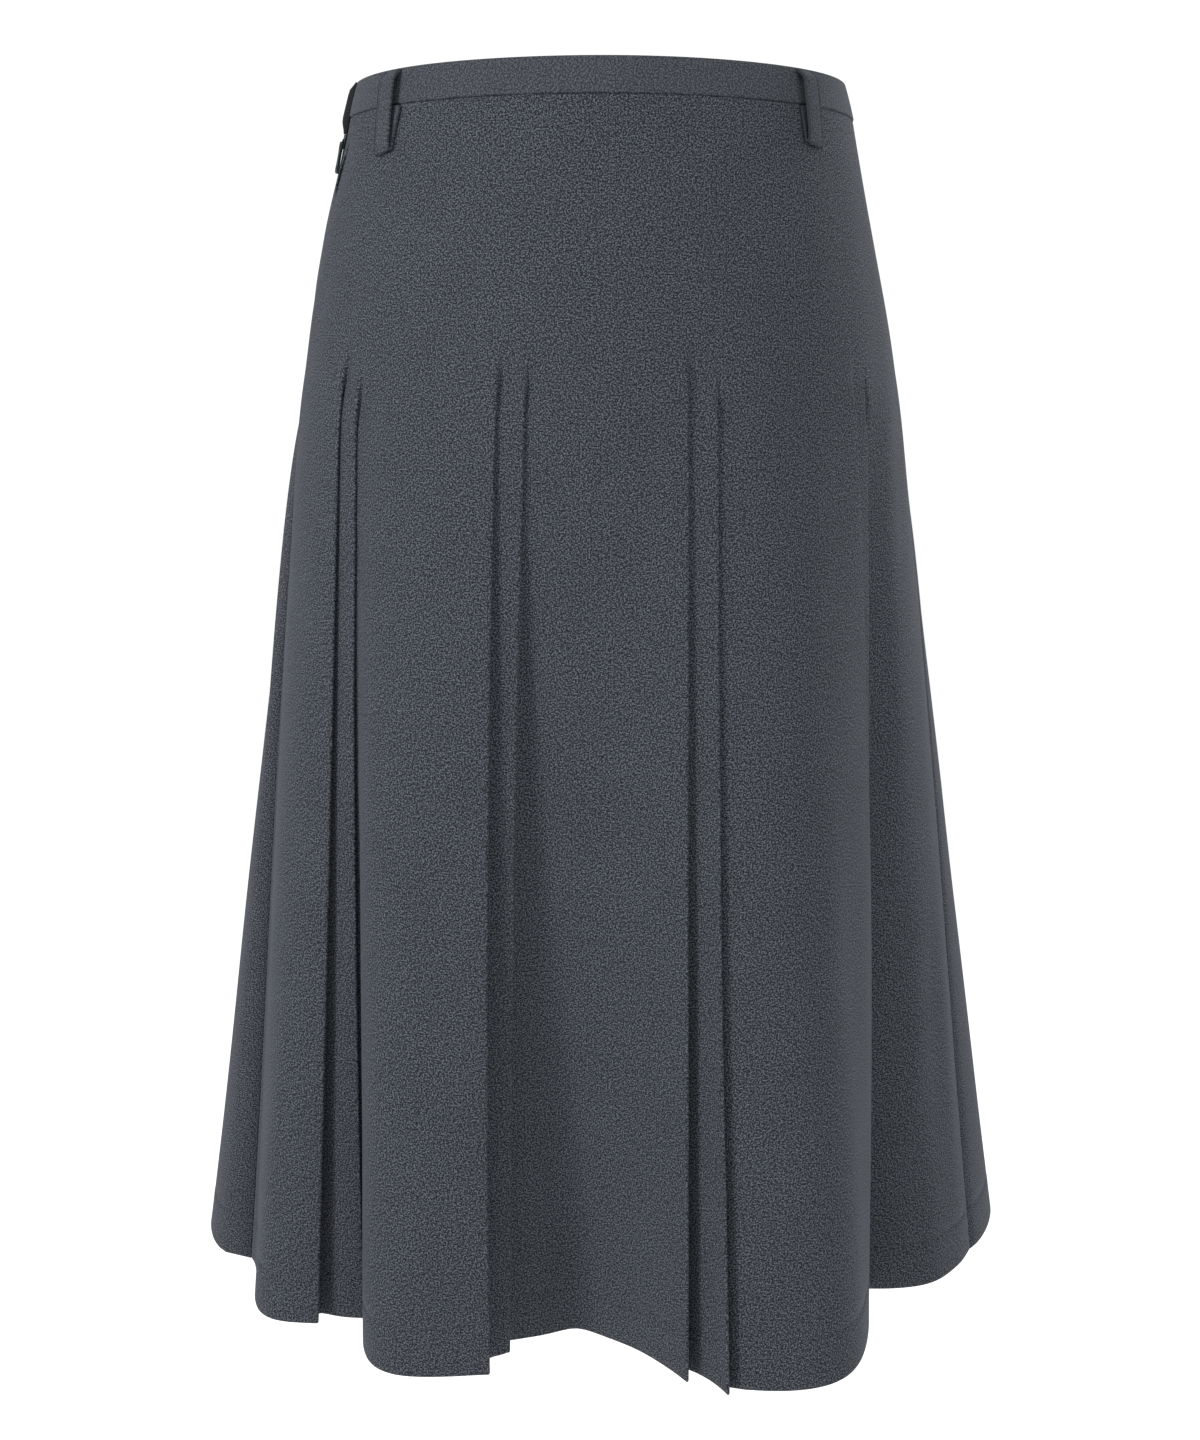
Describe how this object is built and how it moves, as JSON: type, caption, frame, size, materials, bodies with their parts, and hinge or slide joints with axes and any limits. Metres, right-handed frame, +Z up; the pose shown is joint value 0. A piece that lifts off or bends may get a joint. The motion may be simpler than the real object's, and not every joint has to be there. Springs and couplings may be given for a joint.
{
  "type": "pleated midi skirt",
  "caption": "High-waisted midi skirt in soft wool-like cloth, with knife pleats released below the hip, a narrow waistband with belt loops and a zipped side opening.",
  "frame": {"origin": "centre of the waist opening, level with the waistband's top edge, where the wearer's waist holds the skirt", "axes": "+Z up, out of the waist; -Y to the front; -X towards the zipped side opening; Z is the longest extent"},
  "size_m": [0.5213, 0.4262, 0.7103],
  "materials": {
    "wool": "fine charcoal-blue marl twill, matt",
    "tape": "dark woven zip tape",
    "slider": "dark lacquer",
    "pull": "dark lacquer, worn to bare metal at its end"
  },
  "bodies": {
    "skirt": {"skirt_front": "wool", "skirt_back": "wool", "waistband_front": "wool", "waistband_back": "wool", "belt_loop_front_left": "wool", "belt_loop_front_right": "wool", "belt_loop_back_left": "wool", "belt_loop_back_right": "wool", "zip": "tape", "zip_slider": "slider"},
    "zip_pull": {"zip_pull": "pull"}
  },
  "joints": [
    {"name": "zip_pull_hinge", "type": "hinge", "parent": "skirt", "child": "zip_pull", "pos_m": [-0.14928, -0.02366, -0.03323], "axis": [-0.2625, 0.9365, 0.2326], "range_deg": [0, 130]}
  ]
}
